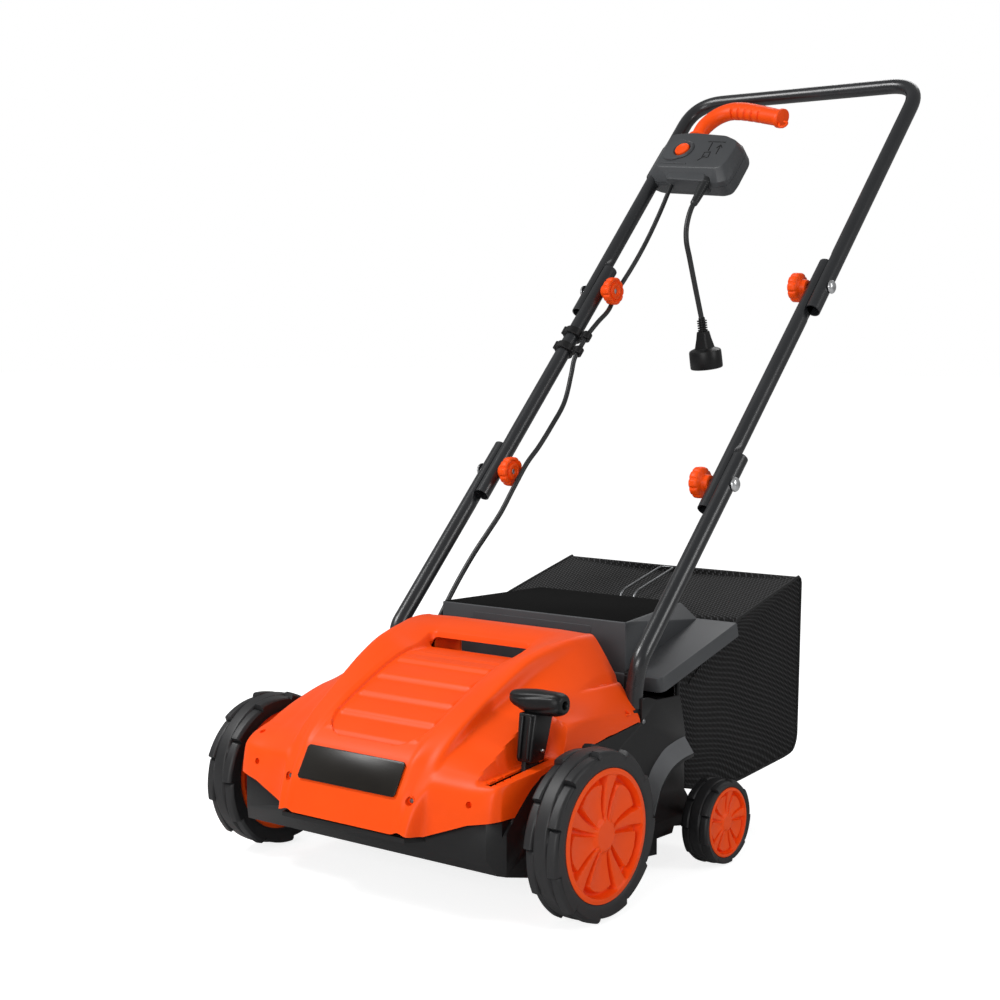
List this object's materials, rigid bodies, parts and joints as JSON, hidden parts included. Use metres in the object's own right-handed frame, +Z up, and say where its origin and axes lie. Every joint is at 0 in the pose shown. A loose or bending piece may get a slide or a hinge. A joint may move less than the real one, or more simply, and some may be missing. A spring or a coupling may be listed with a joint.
{
  "type": "lawn dethatcher",
  "caption": "Corded electric lawn dethatcher: wheeled deck with moulded cover, spring-tine reel, height lever, Z-folding tube handle with switch box, rear flap and fabric bag.",
  "frame": {"origin": "on the ground, below the middle of the overall bounding box", "axes": "+Z up, -Y the front of the machine (the direction it is pushed), +X its left side"},
  "size_m": [0.556, 1.0598, 1.0454],
  "materials": {
    "orange_plastic": "satin moulded, light grain",
    "black_plastic": "fine moulded texture",
    "charcoal_plastic": "fine moulded texture",
    "label_film": "smooth printed film, blank",
    "tube_paint": "satin powder coat",
    "bright_steel": "zinc plated",
    "dark_steel": "phosphated",
    "motor_steel": "black lacquered steel shell",
    "wheel_tread": "moulded tread",
    "cable_rubber": "satin",
    "bag_mesh": "woven mesh"
  },
  "bodies": {
    "deck": {"deck_housing": "black_plastic", "top_cover": "orange_plastic", "label_plate": "label_film", "nose_screw_left": "dark_steel", "nose_screw_right": "dark_steel", "belt_cover": "black_plastic", "motor_can": "motor_steel", "drive_belt": "cable_rubber", "reel_bearing_left": "dark_steel", "reel_bearing_right": "dark_steel", "rear_axle": "dark_steel", "lower_tube_left": "tube_paint", "lower_tube_right": "tube_paint", "tube_screw_left": "bright_steel", "tube_screw_right": "bright_steel", "fold_bolt_lower_left": "bright_steel", "fold_bolt_lower_right": "bright_steel", "mains_cable_lower": "cable_rubber", "flap_pin": "bright_steel"},
    "height_axle": {"front_axle": "dark_steel", "lever_stem": "black_plastic", "lever_grip": "black_plastic"},
    "front_left_wheel": {"front_tyre_left": "wheel_tread", "front_hub_left": "orange_plastic"},
    "front_right_wheel": {"front_tyre_right": "wheel_tread", "front_hub_right": "orange_plastic"},
    "rear_left_wheel": {"rear_tyre_left": "wheel_tread", "rear_hub_left": "orange_plastic"},
    "rear_right_wheel": {"rear_tyre_right": "wheel_tread", "rear_hub_right": "orange_plastic"},
    "reel": {"reel_spool": "bright_steel", "tine_rod_1": "bright_steel", "tine_rod_2": "bright_steel", "tine_rod_3": "bright_steel", "tine_rod_4": "bright_steel", "reel_pulley": "black_plastic"},
    "motor_armature": {"motor_rotor": "dark_steel"},
    "middle_handle": {"middle_tube_left": "tube_paint", "middle_tube_right": "tube_paint", "mains_cable_middle": "cable_rubber", "cable_clip_upper": "black_plastic", "cable_clip_lower": "black_plastic"},
    "upper_handle": {"upper_bar": "tube_paint", "switch_box_front": "charcoal_plastic", "switch_box_back": "charcoal_plastic", "pigtail_cable": "cable_rubber", "plug": "charcoal_plastic", "mains_cable_upper": "cable_rubber", "fold_bolt_upper_left": "bright_steel", "fold_bolt_upper_right": "bright_steel"},
    "bail_lever": {"switch_lever": "orange_plastic"},
    "start_button": {"safety_button": "orange_plastic"},
    "rear_flap": {"flap": "charcoal_plastic"},
    "catcher": {"bag": "bag_mesh", "bag_frame": "bright_steel"},
    "knob_lower_left": {"fold_knob_lower_left": "orange_plastic"},
    "knob_lower_right": {"fold_knob_lower_right": "orange_plastic"},
    "knob_upper_left": {"fold_knob_upper_left": "orange_plastic"},
    "knob_upper_right": {"fold_knob_upper_right": "orange_plastic"}
  },
  "joints": [
    {"name": "height_adjust", "type": "hinge", "parent": "deck", "child": "height_axle", "pos_m": [0, -0.4299, 0.1], "axis": [1, 0, 0], "range_deg": [0, 30]},
    {"name": "front_left_roll", "type": "hinge", "parent": "height_axle", "child": "front_left_wheel", "pos_m": [0.255, -0.3879, 0.1], "axis": [1, 0, 0], "continuous": true},
    {"name": "front_right_roll", "type": "hinge", "parent": "height_axle", "child": "front_right_wheel", "pos_m": [-0.255, -0.3879, 0.1], "axis": [1, 0, 0], "continuous": true},
    {"name": "rear_left_roll", "type": "hinge", "parent": "deck", "child": "rear_left_wheel", "pos_m": [0.24365, -0.1051, 0.0544], "axis": [1, 0, 0], "continuous": true},
    {"name": "rear_right_roll", "type": "hinge", "parent": "deck", "child": "rear_right_wheel", "pos_m": [-0.24365, -0.1051, 0.0544], "axis": [1, 0, 0], "continuous": true},
    {"name": "reel_spin", "type": "hinge", "parent": "deck", "child": "reel", "pos_m": [0, -0.3279, 0.075], "axis": [1, 0, 0], "continuous": true},
    {"name": "motor_spin", "type": "hinge", "parent": "deck", "child": "motor_armature", "pos_m": [0, -0.2959, 0.19], "axis": [1, 0, 0], "continuous": true},
    {"name": "middle_fold", "type": "hinge", "parent": "deck", "child": "middle_handle", "pos_m": [0, -0.0149, 0.469], "axis": [1, 0, 0], "range_deg": [0, 130]},
    {"name": "upper_fold", "type": "hinge", "parent": "middle_handle", "child": "upper_handle", "pos_m": [0, 0.2311, 0.727], "axis": [1, 0, 0], "range_deg": [-134, 0]},
    {"name": "switch_lever_squeeze", "type": "hinge", "parent": "upper_handle", "child": "bail_lever", "pos_m": [-0.158, 0.44438, 0.95472], "axis": [0, -0.7299, 0.6836], "range_deg": [0, 5], "stiffness_Nm_per_rad": 0.6},
    {"name": "safety_button_press", "type": "slide", "parent": "upper_handle", "child": "start_button", "axis": [0, 0.7299, -0.6836], "range_m": [0, 0.004], "stiffness_N_per_m": 400},
    {"name": "flap_lift", "type": "hinge", "parent": "deck", "child": "rear_flap", "pos_m": [0, -0.1659, 0.236], "axis": [1, 0, 0], "range_deg": [0, 30]},
    {"name": "bag_unhook", "type": "slide", "parent": "deck", "child": "catcher", "axis": [0, 1, 0], "range_m": [0, 0.4]},
    {"name": "knob_lower_left_turn", "type": "hinge", "parent": "middle_handle", "child": "knob_lower_left", "pos_m": [0.157, -0.0149, 0.469], "axis": [1, 0, 0], "continuous": true},
    {"name": "knob_lower_right_turn", "type": "hinge", "parent": "middle_handle", "child": "knob_lower_right", "pos_m": [-0.157, -0.0149, 0.469], "axis": [1, 0, 0], "continuous": true},
    {"name": "knob_upper_left_turn", "type": "hinge", "parent": "middle_handle", "child": "knob_upper_left", "pos_m": [0.157, 0.2311, 0.727], "axis": [1, 0, 0], "continuous": true},
    {"name": "knob_upper_right_turn", "type": "hinge", "parent": "middle_handle", "child": "knob_upper_right", "pos_m": [-0.157, 0.2311, 0.727], "axis": [1, 0, 0], "continuous": true}
  ],
  "couplings": [
    {"joint": "upper_fold", "follows": "middle_fold", "ratio": -1.03},
    {"joint": "motor_spin", "follows": "reel_spin", "ratio": 2.7273}
  ]
}
